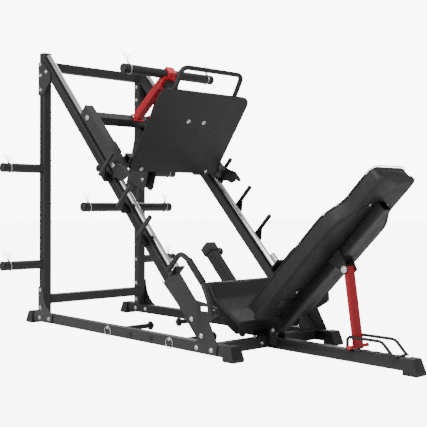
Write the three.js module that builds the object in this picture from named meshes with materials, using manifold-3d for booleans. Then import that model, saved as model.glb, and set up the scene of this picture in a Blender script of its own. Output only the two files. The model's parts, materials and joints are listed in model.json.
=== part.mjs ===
// Leg press machine: a 46 degree sled on two guide rods, a floor-level seat and a reclining back pad.
// Millimetres, +Z up. X is across the machine, +Y points from the seat to the uprights.
// "left" is -X, the left of a person in the seat. The origin is on the floor, mid-length and mid-width.
import * as THREE from 'three';
import { mergeVertices } from 'three/addons/utils/BufferGeometryUtils.js';
import { ConvexGeometry } from 'three/addons/geometries/ConvexGeometry.js';
import Module from 'manifold-3d';

const wasm = await Module();
wasm.setup();

// ---- driving dimensions -------------------------------------------------------------------------
const GAP = 0.3; // between touching pieces
const TUBE = 50; // outer side of the square tube
const WALL = 2.5;
const CORNER = 5; // outer corner radius of the square tube
const HALF = TUBE / 2;
const PLATE = 6; // thickness of flat steel parts
const TRACK = 332; // mid-plane of each rail, upright and floor tube
const TRACK_IN = TRACK - HALF;
const TRACK_OUT = TRACK + HALF;

const FLOOR_TUBE_BOTTOM = 14;
const FLOOR_TUBE_MID = FLOOR_TUBE_BOTTOM + HALF;
const FLOOR_TUBE_TOP = FLOOR_TUBE_BOTTOM + TUBE;
const REAR_END = 155; // the uprights stand at y = 0 before the whole machine is centred
const FRONT_END = -1570;
const SEAT_END = -2250;
const UPRIGHT_TOP = 1521;
const TOP_BEAM_MID = 1452;
const LOW_BEAM_MID = 141;
const CROSS_TUBE_Y = -1418;

const SLOPE = THREE.MathUtils.degToRad(46);
const RAIL_BOTTOM = 1008; // heights above the sloped datum through the origin line
const RAIL_TOP = RAIL_BOTTOM + TUBE;
const ROD_RADIUS = 13.5;
const ROD_LEVEL = RAIL_TOP + 14;
const ROD_LOW = -545;
const ROD_HIGH = 1055;
const PEG_X = 400;
const PEG_RADIUS = 11;
const PEG_TIP = 1182;
const PEG_PLACES = [146, -73, -287];

const HORN_RADIUS = 24.5;
const HORN_WALL = 3;
const STORE_HORN_END = 604;
const STORE_HORN_HEIGHTS = { upper: 874, lower: 338 };
const LOAD_HORN_END = 302;

const SIDE_LOW = 95; // carriage side channels, along the rail
const SIDE_HIGH = 550;
const SIDE_TOP = 1146;
const SIDE_EDGE = 1082;
const CHANNEL_WALL = 4;
const ROLLER_PLACES = { lower: 131, upper: 491 };
const ROLLER_LEVEL = 1112;
const KEEPER_PLACE = 237;
const KEEPER_RADIUS = 18;
const BEAM_PLACE = 480;
const BEAM_LEVEL = SIDE_TOP - HALF;

const PLATE_FOOT = [-739, 850]; // a point on the foot plate's face, y and z
const PLATE_ANGLE = Math.atan2(0.81, -0.586);
const PLATE_LOW = -12;
const PLATE_HIGH = 467;
const PLATE_HALF_WIDTH = 296;
const PLATE_CORNER = 52;

const BACK_HINGE = [-1483, 99];
const BACK_FACE = -866; // sloped datum position of the back pad's face
const BACK_DEPTH = 72;
const STRUT_TOP = [-1895, 398];
const STRUT_FOOT = [-1943, 80];

// ---- materials ----------------------------------------------------------------------------------
function material(color, roughness, metalness) {
  return new THREE.MeshStandardMaterial({ color, roughness, metalness });
}
const black = material(0x1c1d1f, 0.45, 0.3);
const red = material(0xb8323e, 0.4, 0.3);
const chrome = material(0xc9ccd0, 0.18, 1.0);
const vinyl = material(0x222326, 0.55, 0.0);
const plastic = material(0x161617, 0.6, 0.0);
const zinc = material(0xa9abae, 0.35, 0.9);

// ---- solids -------------------------------------------------------------------------------------
function solid(geometry) {
  const source = geometry.clone();
  source.deleteAttribute('normal');
  source.deleteAttribute('uv');
  const merged = mergeVertices(source, 1e-4);
  const corners = merged.index.array;
  const triangles = [];
  for (let i = 0; i < corners.length; i += 3) {
    const [a, b, c] = corners.slice(i, i + 3);
    if (a !== b && b !== c && c !== a) {
      triangles.push(a, b, c);
    }
  }
  const mesh = new wasm.Mesh({
    numProp: 3,
    vertProperties: new Float32Array(merged.attributes.position.array),
    triVerts: new Uint32Array(triangles),
  });
  return new wasm.Manifold(mesh);
}

function geometryOf(body) {
  const mesh = body.getMesh();
  const geometry = new THREE.BufferGeometry();
  geometry.setAttribute('position', new THREE.BufferAttribute(new Float32Array(mesh.vertProperties), 3));
  geometry.setIndex(new THREE.BufferAttribute(new Uint32Array(mesh.triVerts), 1));
  geometry.computeVertexNormals();
  return geometry;
}

function join(...geometries) {
  return geometryOf(geometries.map(solid).reduce((total, next) => total.add(next)));
}

function cut(geometry, ...tools) {
  return geometryOf(tools.map(solid).reduce((total, next) => total.subtract(next), solid(geometry)));
}

function box([x0, x1], [y0, y1], [z0, z1]) {
  const geometry = new THREE.BoxGeometry(x1 - x0, y1 - y0, z1 - z0);
  return geometry.translate((x0 + x1) / 2, (y0 + y1) / 2, (z0 + z1) / 2);
}

function hull(points) {
  return new ConvexGeometry(points.map((point) => new THREE.Vector3(...point)));
}

function roundedOutline(Kind, width, height, radius) {
  const outline = new Kind();
  const x = width / 2 - radius;
  const y = height / 2 - radius;
  outline.moveTo(width / 2, -y);
  outline.absarc(x, y, radius, 0, Math.PI / 2);
  outline.absarc(-x, y, radius, Math.PI / 2, Math.PI);
  outline.absarc(-x, -y, radius, Math.PI, Math.PI * 1.5);
  outline.absarc(x, -y, radius, Math.PI * 1.5, Math.PI * 2);
  return outline;
}

function extrude(shape, depth, curveSegments = 1) {
  return new THREE.ExtrudeGeometry(shape, { depth, bevelEnabled: false, curveSegments });
}

function tubeZ([z0, z1], x, y) {
  const section = roundedOutline(THREE.Shape, TUBE, TUBE, CORNER);
  section.holes.push(roundedOutline(THREE.Path, TUBE - 2 * WALL, TUBE - 2 * WALL, CORNER - WALL));
  return extrude(section, z1 - z0).translate(x, y, z0);
}

function tubeY([y0, y1], x, z) {
  return tubeZ([y0, y1], 0, 0).rotateX(-Math.PI / 2).translate(x, 0, z);
}

function tubeX([x0, x1], y, z) {
  return tubeZ([x0, x1], 0, 0).rotateY(Math.PI / 2).translate(0, y, z);
}

// A square tube whose centre line runs from one point of the mid-plane to another.
function leaningTube([y0, z0], [y1, z1]) {
  const length = Math.hypot(y1 - y0, z1 - z0);
  return tubeY([0, length], 0, 0).rotateX(Math.atan2(z1 - z0, y1 - y0)).translate(0, y0, z0);
}

// A flat part: its outline is in Y and Z, its thickness lies between two values of X.
function sideOutline(points) {
  const corners = points.map(([y, z]) => new THREE.Vector2(y, z));
  return new THREE.Shape(THREE.ShapeUtils.isClockWise(corners) ? corners.reverse() : corners);
}

function sidePlate(shape, [x0, x1], curveSegments = 6) {
  const geometry = extrude(shape, x1 - x0, curveSegments);
  const turn = new THREE.Matrix4().makeBasis(
    new THREE.Vector3(0, 1, 0),
    new THREE.Vector3(0, 0, 1),
    new THREE.Vector3(1, 0, 0),
  );
  return geometry.applyMatrix4(turn).translate(x0, 0, 0);
}

function rodAlongY(radius, [y0, y1], x, z, sides = 20) {
  const geometry = new THREE.CylinderGeometry(radius, radius, y1 - y0, sides);
  return geometry.translate(x, (y0 + y1) / 2, z);
}

function rodAlongZ(radius, [z0, z1], x, y, sides = 16) {
  return rodAlongY(radius, [z0, z1], 0, 0, sides).rotateX(Math.PI / 2).translate(x, y, 0);
}

function rodAlongX(radius, [x0, x1], y, z, sides = 16) {
  return rodAlongY(radius, [-x1, -x0], 0, 0, sides).rotateZ(Math.PI / 2).translate(0, y, z);
}

// A round bar bent through its points, with rounded corners.
function bentRod(points, radius, bend, steps) {
  const corners = points.map((point) => new THREE.Vector3(...point));
  const path = new THREE.CurvePath();
  let start = corners[0];
  for (let i = 1; i < corners.length - 1; i += 1) {
    const before = corners[i].clone().sub(corners[i - 1]).setLength(bend);
    const after = corners[i + 1].clone().sub(corners[i]).setLength(bend);
    const entry = corners[i].clone().sub(before);
    const exit = corners[i].clone().add(after);
    path.add(new THREE.LineCurve3(start, entry));
    path.add(new THREE.QuadraticBezierCurve3(entry, corners[i], exit));
    start = exit;
  }
  path.add(new THREE.LineCurve3(start, corners[corners.length - 1]));
  const section = new THREE.Shape().absarc(0, 0, radius, 0, Math.PI * 2);
  return new THREE.ExtrudeGeometry(section, { steps, curveSegments: 4, extrudePath: path });
}

// A turned part about the X axis; the profile lists radius and position along X.
function turned(profile, sides = 20) {
  const points = profile.map(([radius, along]) => new THREE.Vector2(radius, along));
  return new THREE.LatheGeometry(points, sides).rotateZ(-Math.PI / 2);
}

// ---- scene graph --------------------------------------------------------------------------------
const machine = new THREE.Group();
machine.position.y = -(REAR_END + SEAT_END) / 2;
const sled = new THREE.Group(); // local Y runs up the rails, local Z stands off them
sled.rotation.x = SLOPE;
machine.add(sled);
const plateSpace = new THREE.Group(); // local Y runs up the foot plate, local Z faces the user
plateSpace.position.set(0, ...PLATE_FOOT);
plateSpace.rotation.x = PLATE_ANGLE;
machine.add(plateSpace);

function place(parent, name, look, geometry) {
  const mesh = new THREE.Mesh(geometry, look);
  mesh.name = name;
  parent.add(mesh);
}

// A mirrored copy keeps its faces pointing out.
function mirrored(geometry) {
  const body = solid(geometry).mirror([1, 0, 0]);
  return geometryOf(body);
}

function placePair(parent, name, look, rightGeometry) {
  place(parent, `${name}_right`, look, rightGeometry);
  place(parent, `${name}_left`, look, mirrored(rightGeometry));
}

// Sled coordinates (along the rail, above the datum) of a point given by y and z, and back.
function toSled([y, z]) {
  const along = y * Math.cos(SLOPE) + z * Math.sin(SLOPE);
  const above = -y * Math.sin(SLOPE) + z * Math.cos(SLOPE);
  return [along, above];
}

function fromSled([along, above]) {
  const y = along * Math.cos(SLOPE) - above * Math.sin(SLOPE);
  const z = along * Math.sin(SLOPE) + above * Math.cos(SLOPE);
  return [y, z];
}

// ---- floor frame --------------------------------------------------------------------------------
const FOOT_LENGTH = 66;
const FOOT_HEIGHT = 66;
const FOOT_HALF_WIDTH = 34;
const FOOT_TOP_HALF_WIDTH = 29;
const SOLE = 13;
const FOOT_FLARE = 20;
const TUBE_INSET = 25; // how far a tube ends short of its foot's outer edge

// A boot over the end of a floor tube: outward is the direction in Y in which the tube ends.
function foot(x, end, outward) {
  const inner = end - outward * FOOT_LENGTH;
  const top = end - outward * FOOT_FLARE;
  const corners = [];
  for (const side of [-1, 1]) {
    for (const z of [0, SOLE]) {
      corners.push([x + side * FOOT_HALF_WIDTH, inner, z], [x + side * FOOT_HALF_WIDTH, end, z]);
    }
    corners.push([x + side * FOOT_TOP_HALF_WIDTH, inner, FOOT_HEIGHT]);
    corners.push([x + side * FOOT_TOP_HALF_WIDTH, top, FOOT_HEIGHT]);
  }
  const tubeEnd = end - outward * (TUBE_INSET - GAP);
  const opening = inner - outward * 1;
  const reach = HALF + GAP;
  const socket = box(
    [x - reach, x + reach],
    [Math.min(opening, tubeEnd), Math.max(opening, tubeEnd)],
    [FLOOR_TUBE_BOTTOM - GAP, FLOOR_TUBE_TOP + GAP],
  );
  return cut(hull(corners), socket);
}

const GROUND_PEG_RADIUS = 12.5;
const GROUND_PEG_FLANGE = 23;
const GROUND_PEG_TIP = 82;
const GROUND_PEG_PLACES = [-662, -1150];

function floorTube() {
  const ends = [FRONT_END + TUBE_INSET, REAR_END - TUBE_INSET];
  const pieces = [tubeY(ends, TRACK, FLOOR_TUBE_MID)];
  for (const y of GROUND_PEG_PLACES) {
    const flange = [GROUND_PEG_TIP + 12, GROUND_PEG_TIP + 18];
    pieces.push(rodAlongX(GROUND_PEG_RADIUS, [GROUND_PEG_TIP, TRACK_IN + 1], y, FLOOR_TUBE_MID));
    pieces.push(rodAlongX(GROUND_PEG_FLANGE, flange, y, FLOOR_TUBE_MID, 24));
  }
  return join(...pieces);
}

function centreBeam() {
  const ends = [SEAT_END + TUBE_INSET, CROSS_TUBE_Y - HALF - GAP];
  const pieces = [tubeY(ends, 0, FLOOR_TUBE_MID)];
  const [hingeY, hingeZ] = BACK_HINGE;
  for (const side of [-1, 1]) {
    const ear = new THREE.Shape();
    ear.moveTo(hingeY - 26, FLOOR_TUBE_BOTTOM + 20);
    ear.lineTo(hingeY + 26, FLOOR_TUBE_BOTTOM + 20);
    ear.lineTo(hingeY + 18, hingeZ);
    ear.absarc(hingeY, hingeZ, 18, 0, Math.PI);
    const face = HALF + GAP;
    const sorted = (near, far) => (side > 0 ? [near, far] : [-far, -near]);
    const weldLevels = [FLOOR_TUBE_BOTTOM + 22, FLOOR_TUBE_TOP - CORNER];
    pieces.push(sidePlate(ear, sorted(face, face + PLATE)));
    pieces.push(box(sorted(HALF - 1, face + 1), [hingeY - 20, hingeY + 20], weldLevels));
  }
  return join(...pieces);
}

placePair(machine, 'base_tube', black, floorTube());
const CROSS_REACH = TRACK_IN - GAP;
const CROSS_ENDS = [-CROSS_REACH, CROSS_REACH];
place(machine, 'front_cross_tube', black, tubeX(CROSS_ENDS, CROSS_TUBE_Y, FLOOR_TUBE_MID));
place(machine, 'centre_beam', black, centreBeam());
placePair(machine, 'foot_rear', plastic, foot(TRACK, REAR_END, 1));
placePair(machine, 'foot_front', plastic, foot(TRACK, FRONT_END, -1));
place(machine, 'foot_seat', plastic, foot(0, SEAT_END, -1));

// ---- uprights -----------------------------------------------------------------------------------
const SKIN = [TRACK_OUT + GAP, TRACK_OUT + GAP + PLATE]; // flat plates on the outer faces

function upright() {
  const topPlate = sideOutline([
    [HALF, 1474],
    [-22, 1474],
    [-100, 1398],
    [-100, 1360],
    [-HALF, 1289],
    [HALF, 1289],
  ]);
  const footPlate = new THREE.Shape();
  footPlate.moveTo(25, 16);
  footPlate.lineTo(25, 212);
  footPlate.lineTo(-24, 212);
  footPlate.quadraticCurveTo(-30, 100, -120, 62);
  footPlate.lineTo(-120, 16);
  const weld = [TRACK_OUT - 1, TRACK_OUT + 2];
  return join(
    tubeZ([FLOOR_TUBE_TOP + GAP, UPRIGHT_TOP], TRACK, 0),
    sidePlate(topPlate, SKIN),
    sidePlate(footPlate, SKIN),
    box(weld, [-18, 18], [1300, 1464]),
    box(weld, [-18, 18], [80, 200]),
  );
}

function storageHorn(z) {
  const start = TRACK_OUT + GAP;
  return horn(STORE_HORN_END - start).translate(start, 0, z);
}

// A plate sleeve: a pipe open at its root and closed by a rounded cap.
function horn(length) {
  const round = 8;
  return turned([
    [0, length - 2 * round],
    [HORN_RADIUS - HORN_WALL, length - 2 * round],
    [HORN_RADIUS - HORN_WALL, 0],
    [HORN_RADIUS, 0],
    [HORN_RADIUS, length - round],
    [HORN_RADIUS - 2.3, length - 2.3],
    [HORN_RADIUS - round, length],
    [0, length],
  ]);
}

placePair(machine, 'upright', black, upright());
place(machine, 'top_cross_beam', black, tubeX(CROSS_ENDS, 0, TOP_BEAM_MID));
place(machine, 'lower_cross_beam', black, tubeX(CROSS_ENDS, 0, LOW_BEAM_MID));
for (const [level, z] of Object.entries(STORE_HORN_HEIGHTS)) {
  placePair(machine, `storage_horn_${level}`, black, storageHorn(z));
}

// ---- rails, rods and stops ----------------------------------------------------------------------
const END_PLATE_TOP = 1126;
const BUMPER_RADIUS = 12.5;
const BUMPER_LENGTH = 58;
const BUMPER_LEVEL = 1103;
const WEB_TOP = 1095;
const WEB_FOOT = 1043;

function lockPeg(along) {
  const web = [[along - 5, WEB_TOP], [along - 48, WEB_FOOT], [along - 5, WEB_FOOT]];
  return join(
    rodAlongZ(PEG_RADIUS, [WEB_FOOT - 13, PEG_TIP], PEG_X, along),
    sidePlate(sideOutline(web), [PEG_X - 4, PEG_X + 4]),
    box([TRACK_OUT - 1, PEG_X], [along - 48, along + PEG_RADIUS], [WEB_FOOT - 13, WEB_FOOT]),
  );
}

function rail() {
  const length = [-1050, 1150];
  const big = 4000;
  const belowFloorTube = box([0, 2 * TRACK], [-big, big], [-big, FLOOR_TUBE_TOP + GAP]);
  const behindUprightFace = box([0, 2 * TRACK], [-HALF - GAP, big], [-big, big]);
  const trimmed = cut(
    tubeY(length, TRACK, RAIL_BOTTOM + HALF),
    belowFloorTube.rotateX(-SLOPE),
    behindUprightFace.rotateX(-SLOPE),
  );
  const endPlate = box(
    [TRACK_IN + 1, TRACK_OUT - 1],
    [ROD_LOW - PLATE, ROD_LOW - GAP],
    [RAIL_TOP - 2, END_PLATE_TOP],
  );
  return join(trimmed, endPlate, ...PEG_PLACES.map(lockPeg));
}

function railGusset() {
  const outline = sideOutline([
    fromSled([ROD_LOW, 1010]),
    fromSled([ROD_LOW, END_PLATE_TOP]),
    fromSled([-742, 1126]),
    [-1405, 238],
    [-1466, 224],
    [-1478, 196],
    [-1414, 160],
    [-1470, 66],
    [-1462, 22],
    [-1316, 22],
    [-1316, 62],
    [-1346, 76],
    [-1310, 130],
    fromSled([-523, 1002]),
  ]);
  const window = new THREE.Path();
  window.moveTo(-1360, 203);
  window.lineTo(-1360, 224);
  window.lineTo(-1408, 224);
  window.lineTo(-1413, 218);
  window.lineTo(-1405, 203);
  outline.holes.push(window);
  return sidePlate(outline, SKIN);
}

const GRIP_X = 386;
const GRIP_RADIUS = 12.5;

function sideHandle() {
  const bar = bentRod(
    [
      [GRIP_X, -541, 1090],
      [GRIP_X, -541, 1214],
      [GRIP_X, -600, 1237],
      [GRIP_X, -742, 1239],
      [GRIP_X, -836, 1210],
      [GRIP_X, -866, 1180],
    ],
    GRIP_RADIUS,
    28,
    30,
  );
  const bossInner = SKIN[1] + GAP;
  return join(
    bar,
    rodAlongX(9, [bossInner, GRIP_X], -562, 1100),
    box([GRIP_X - 5, GRIP_X + 5], [-572, -535], [1090, 1112]),
    rodAlongX(9, [bossInner, GRIP_X], -861, 1186),
  );
}

function bumper() {
  return rodAlongY(BUMPER_RADIUS, [ROD_LOW, ROD_LOW + BUMPER_LENGTH], TRACK, BUMPER_LEVEL);
}

placePair(sled, 'rail', black, rail());
placePair(sled, 'guide_rod', chrome, rodAlongY(ROD_RADIUS, [ROD_LOW, ROD_HIGH], TRACK, ROD_LEVEL));
placePair(machine, 'rail_gusset', black, railGusset());
placePair(sled, 'side_handle', black, sideHandle());
placePair(sled, 'bumper', zinc, bumper());

// ---- centre post and its pull pin ---------------------------------------------------------------
const POST_LOW_LEVEL = 1019;
const POST_HIGH = -364;
const COLLAR = 4;
const PIN_PLACE = -405;
const PIN_LEVEL = 1046;
const PIN_RADIUS = 5;

function centrePost() {
  const big = 4000;
  const mid = POST_LOW_LEVEL + HALF;
  const floor = box([-TUBE, TUBE], [-big, big], [-big, FLOOR_TUBE_TOP + GAP]).rotateX(-SLOPE);
  const outside = HALF + COLLAR;
  const collar = cut(
    box([-outside, outside], [POST_HIGH - 46, POST_HIGH], [mid - outside, mid + outside]),
    box([-HALF + 1, HALF - 1], [POST_HIGH - 60, POST_HIGH - 5], [mid - HALF + 1, mid + HALF - 1]),
  );
  const body = join(cut(tubeY([-1050, POST_HIGH - 2], 0, mid), floor), collar);
  const pinHole = rodAlongX(PIN_RADIUS + 1, [0, outside + 5], PIN_PLACE, PIN_LEVEL);
  return cut(body, pinHole);
}

function pullPin() {
  const face = HALF + COLLAR;
  return turned([
    [0, face - 12],
    [PIN_RADIUS, face - 12],
    [PIN_RADIUS, face + 6],
    [11, face + 8],
    [19, face + 16],
    [21, face + 24],
    [19, face + 32],
    [11, face + 38],
    [0, face + 40],
  ]).translate(0, PIN_PLACE, PIN_LEVEL);
}

place(sled, 'centre_post', black, centrePost());
place(sled, 'pull_pin', plastic, pullPin());

// ---- seat ---------------------------------------------------------------------------------------
const SEAT_HALF_WIDTH = 215;
const SEAT_DEPTH = 55;
const SEAT_LINE = [[-1226, 321], [-1281, 236], [-1356, 184], [-1415, 152], [-1452, 134]];

// The seat's side view: the sitting line above, and the same line moved down by a distance below.
function seatLineMoved(depth) {
  return SEAT_LINE.map(([y, z], index) => {
    const [yBefore, zBefore] = SEAT_LINE[Math.max(index - 1, 0)];
    const [yAfter, zAfter] = SEAT_LINE[Math.min(index + 1, SEAT_LINE.length - 1)];
    const length = Math.hypot(yAfter - yBefore, zAfter - zBefore);
    const alongY = (yAfter - yBefore) / length;
    const alongZ = (zAfter - zBefore) / length;
    return [y - depth * alongZ, z + depth * alongY];
  });
}

function postPath() {
  const room = HALF + 1.5;
  const mid = POST_LOW_LEVEL + HALF;
  return box([-room, room], [-1100, POST_HIGH - 60], [mid - room, mid + room]).rotateX(SLOPE);
}

function seatPad() {
  const outline = sideOutline([...SEAT_LINE, ...seatLineMoved(SEAT_DEPTH).reverse()]);
  const pad = sidePlate(outline, [-SEAT_HALF_WIDTH, SEAT_HALF_WIDTH]);
  return cut(pad, postPath());
}

function seatFrame() {
  const above = seatLineMoved(SEAT_DEPTH + 1);
  const below = seatLineMoved(SEAT_DEPTH + 1 + PLATE);
  const tray = sidePlate(sideOutline([...above.slice(0, 4), ...below.slice(0, 4).reverse()]), [-160, 160]);
  const webs = [];
  for (const side of [-1, 1]) {
    const web = sideOutline([below[0], below[1], below[2], below[3], [-1380, 66], [-1310, 66], [-1190, 190]]);
    const range = side > 0 ? [44, 44 + PLATE] : [-44 - PLATE, -44];
    webs.push(sidePlate(web, range));
  }
  const base = box([-50, 50], [-1450, -1300], [FLOOR_TUBE_TOP + GAP, FLOOR_TUBE_TOP + GAP + 5]);
  return cut(join(tray, base, ...webs), postPath());
}

place(machine, 'seat_frame', black, seatFrame());
place(machine, 'seat_pad', vinyl, seatPad());

// ---- back rest ----------------------------------------------------------------------------------
const BACK_HALF_WIDTH = 190;
const BACK_TUBE = BACK_FACE - BACK_DEPTH - 1 - HALF; // mid-line of the tube behind the pad
const BACK_LOW = 1200;
const BACK_HIGH = 2090;

function backPad() {
  const outline = new THREE.Shape();
  const corner = 30;
  outline.moveTo(BACK_HALF_WIDTH - corner, BACK_LOW);
  outline.quadraticCurveTo(BACK_HALF_WIDTH, BACK_LOW, BACK_HALF_WIDTH, BACK_LOW + corner);
  outline.lineTo(BACK_HALF_WIDTH, 1770);
  outline.quadraticCurveTo(BACK_HALF_WIDTH, 1805, 164, 1838);
  outline.lineTo(138, 1872);
  outline.quadraticCurveTo(122, 1892, 122, 1915);
  outline.lineTo(122, 2040);
  outline.quadraticCurveTo(120, BACK_HIGH, 76, BACK_HIGH);
  outline.lineTo(-76, BACK_HIGH);
  outline.quadraticCurveTo(-120, BACK_HIGH, -122, 2040);
  outline.lineTo(-122, 1915);
  outline.quadraticCurveTo(-122, 1892, -138, 1872);
  outline.lineTo(-164, 1838);
  outline.quadraticCurveTo(-BACK_HALF_WIDTH, 1805, -BACK_HALF_WIDTH, 1770);
  outline.lineTo(-BACK_HALF_WIDTH, BACK_LOW + corner);
  outline.quadraticCurveTo(-BACK_HALF_WIDTH, BACK_LOW, -BACK_HALF_WIDTH + corner, BACK_LOW);
  const depth = BACK_DEPTH;
  return extrude(outline, depth, 5).rotateX(Math.PI / 2).translate(0, BACK_FACE, 0);
}

function backFrame() {
  const [hingeAlong, hingeAbove] = toSled(BACK_HINGE);
  const [strutAlong, strutAbove] = toSled(STRUT_TOP);
  const pieces = [tubeZ([1150, 1955], 0, BACK_TUBE)];
  for (const side of [-1, 1]) {
    const inner = HALF - WALL;
    const thick = side > 0 ? [inner - 4.5, inner + 1] : [-inner - 1, -inner + 4.5];
    const arm = sideOutline([
      [BACK_TUBE - 18, 1240],
      [BACK_TUBE + 18, 1240],
      [hingeAlong + 15, hingeAbove + 6],
      [hingeAlong + 10, hingeAbove - 13],
      [hingeAlong - 12, hingeAbove - 10],
    ]);
    pieces.push(sidePlate(arm, thick));
    const lugRange = side > 0 ? [HALF + 3.5, HALF + 9.5] : [-HALF - 9.5, -HALF - 3.5];
    const lug = sideOutline([
      [BACK_TUBE + 15, strutAbove + 40],
      [BACK_TUBE + 15, strutAbove - 40],
      [strutAlong + 4, strutAbove - 17],
      [strutAlong - 14, strutAbove - 12],
      [strutAlong - 14, strutAbove + 12],
      [strutAlong + 4, strutAbove + 17],
    ]);
    pieces.push(sidePlate(lug, lugRange));
  }
  const front = [BACK_TUBE + HALF - 5, BACK_TUBE + HALF];
  const rear = [BACK_TUBE - HALF - 4, BACK_TUBE - HALF + 1];
  pieces.push(box([-HALF - 9.5, HALF + 9.5], rear, [strutAbove - 32, strutAbove + 32]));
  pieces.push(box([-120, 120], front, [1290, 1340]));
  pieces.push(box([-90, 90], front, [1880, 1930]));
  const pin = rodAlongX(6, [-HALF + 2, HALF - 2], hingeAlong, hingeAbove);
  return join(...pieces, pin);
}

function strut() {
  const [topY, topZ] = STRUT_TOP;
  const [footY, footZ] = STRUT_FOOT;
  const depth = 9;
  const outward = HALF + 3;
  const arm = sideOutline([[0, -depth], [0, depth], [1, depth], [1, -depth]].map(([t, offset]) => {
    const length = Math.hypot(footY - topY, footZ - topZ);
    const alongY = (footY - topY) / length;
    const alongZ = (footZ - topZ) / length;
    const reach = t ? 4 : -12;
    return [
      topY + t * (footY - topY) + reach * alongY - offset * alongZ,
      topZ + t * (footZ - topZ) + reach * alongZ + offset * alongY,
    ];
  }));
  return join(
    sidePlate(arm, [-outward + 3, outward - 3]),
    rodAlongX(6, [-outward, outward], topY, topZ),
    rodAlongX(7, [-62, 62], footY, footZ),
  );
}

const RACK_STEP = 55;
const RACK_STEPS = 4;
const RACK_SEAT = 1.2; // heights of the notches' bottoms and crests above the floor tube
const RACK_CREST = 3.2;

// The notched bar that the strut stands in, with a guard bar on each side of it.
function strutRack() {
  const base = FLOOR_TUBE_TOP + GAP;
  const start = STRUT_FOOT[0] + 36;
  const teeth = [[start, base], [start, base + RACK_CREST]];
  for (let i = 0; i < RACK_STEPS; i += 1) {
    const place = STRUT_FOOT[0] - i * RACK_STEP;
    teeth.push([place + 14, base + RACK_CREST], [place + 8, base + RACK_SEAT]);
    teeth.push([place - 8, base + RACK_SEAT], [place - 24, base + RACK_CREST]);
  }
  const end = STRUT_FOOT[0] - RACK_STEPS * RACK_STEP + 14;
  teeth.push([end, base + RACK_CREST], [end, base]);
  const pieces = [];
  for (const side of [-1, 1]) {
    const x = side * 45;
    const footing = side > 0 ? [20, 52] : [-52, -20];
    pieces.push(sidePlate(sideOutline(teeth), side > 0 ? [12, 20.5] : [-20.5, -12]));
    pieces.push(bentRod(
      [
        [x, -1922, base + 3],
        [x, -1922, 122],
        [x, -2095, 122],
        [x, -2150, base + 3],
      ],
      6.5,
      14,
      20,
    ));
    pieces.push(box(footing, [-1932, -1912], [base, base + 5]));
    pieces.push(box(footing, [-2160, -2140], [base, base + 5]));
  }
  pieces.push(box([-20, 20], [-1932, -1912], [base, base + 3]));
  pieces.push(box([-20, 20], [-2160, -2140], [base, base + 3]));
  return join(...pieces);
}

place(sled, 'back_frame', black, backFrame());
place(sled, 'back_pad', vinyl, backPad());
place(machine, 'back_strut', red, strut());
place(machine, 'strut_rack', black, strutRack());

// ---- carriage -----------------------------------------------------------------------------------
const KEEPER_AXLE_LEVEL = RAIL_BOTTOM - 0.5 - KEEPER_RADIUS;

// An inverted channel over the rod, closed at its low end, with the bracket of the keeper roller.
function carriageSide() {
  const outer = box([TRACK_IN, TRACK_OUT], [SIDE_LOW, SIDE_HIGH], [SIDE_EDGE, SIDE_TOP]);
  const inner = box(
    [TRACK_IN + CHANNEL_WALL, TRACK_OUT - CHANNEL_WALL],
    [SIDE_LOW + 5, SIDE_HIGH + 1],
    [SIDE_EDGE - 1, SIDE_TOP - CHANNEL_WALL],
  );
  const clearHalf = HALF - CHANNEL_WALL;
  const rodWay = box([TRACK - clearHalf, TRACK + clearHalf], [0, 200], [1000, 1088]);
  const keeper = sideOutline([
    [KEEPER_PLACE - 38, SIDE_TOP],
    [KEEPER_PLACE - 38, 1100],
    [KEEPER_PLACE - 16, KEEPER_AXLE_LEVEL - 8],
    [KEEPER_PLACE, KEEPER_AXLE_LEVEL - 14],
    [KEEPER_PLACE + 16, KEEPER_AXLE_LEVEL - 8],
    [KEEPER_PLACE + 38, 1100],
    [KEEPER_PLACE + 38, SIDE_TOP],
  ]);
  const spacer = box([TRACK_IN - 2, TRACK_IN + 5], [KEEPER_PLACE - 36, KEEPER_PLACE + 36], [1096, 1140]);
  return join(cut(outer, inner, rodWay), sidePlate(keeper, [TRACK_IN - 9, TRACK_IN - 1]), spacer);
}

// A grooved roller that runs on top of the guide rod, with its two axle stubs.
function roller() {
  const half = 15;
  const groove = ROLLER_LEVEL - ROD_LEVEL;
  const clear = ROD_RADIUS + 0.5;
  const rim = 29;
  const stub = 20;
  const profile = [[0, -stub], [8, -stub], [8, -half], [rim, -half]];
  const reach = Math.sqrt(clear ** 2 - (groove - rim) ** 2);
  const steps = 4;
  for (let i = 0; i <= steps; i += 1) {
    const x = reach * ((2 * i) / steps - 1);
    profile.push([groove - Math.sqrt(clear ** 2 - x ** 2), x]);
  }
  profile.push([rim, half], [8, half], [8, stub], [0, stub]);
  return turned(profile);
}

function keeperRoller() {
  const inner = TRACK_IN - 1 + GAP;
  return turned([
    [0, inner],
    [6, inner],
    [6, inner + 5],
    [KEEPER_RADIUS, inner + 5],
    [KEEPER_RADIUS, TRACK_OUT - 6],
    [6, TRACK_OUT - 6],
    [6, TRACK_OUT],
    [0, TRACK_OUT],
  ]).translate(0, KEEPER_PLACE, KEEPER_AXLE_LEVEL);
}

placePair(sled, 'carriage_side', black, carriageSide());
for (const [end, along] of Object.entries(ROLLER_PLACES)) {
  placePair(sled, `roller_${end}`, plastic, roller().translate(TRACK, along, ROLLER_LEVEL));
}
placePair(sled, 'keeper_roller', plastic, keeperRoller());
const BEAM_REACH = TRACK_IN - GAP;
place(sled, 'carriage_crossbeam', black, tubeX([-BEAM_REACH, BEAM_REACH], BEAM_PLACE, BEAM_LEVEL));

// ---- safety hooks -------------------------------------------------------------------------------
const HOOK_FACE = SKIN[1] + 1.2; // the hooks pass outside the rail gussets and inside the side handles

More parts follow.
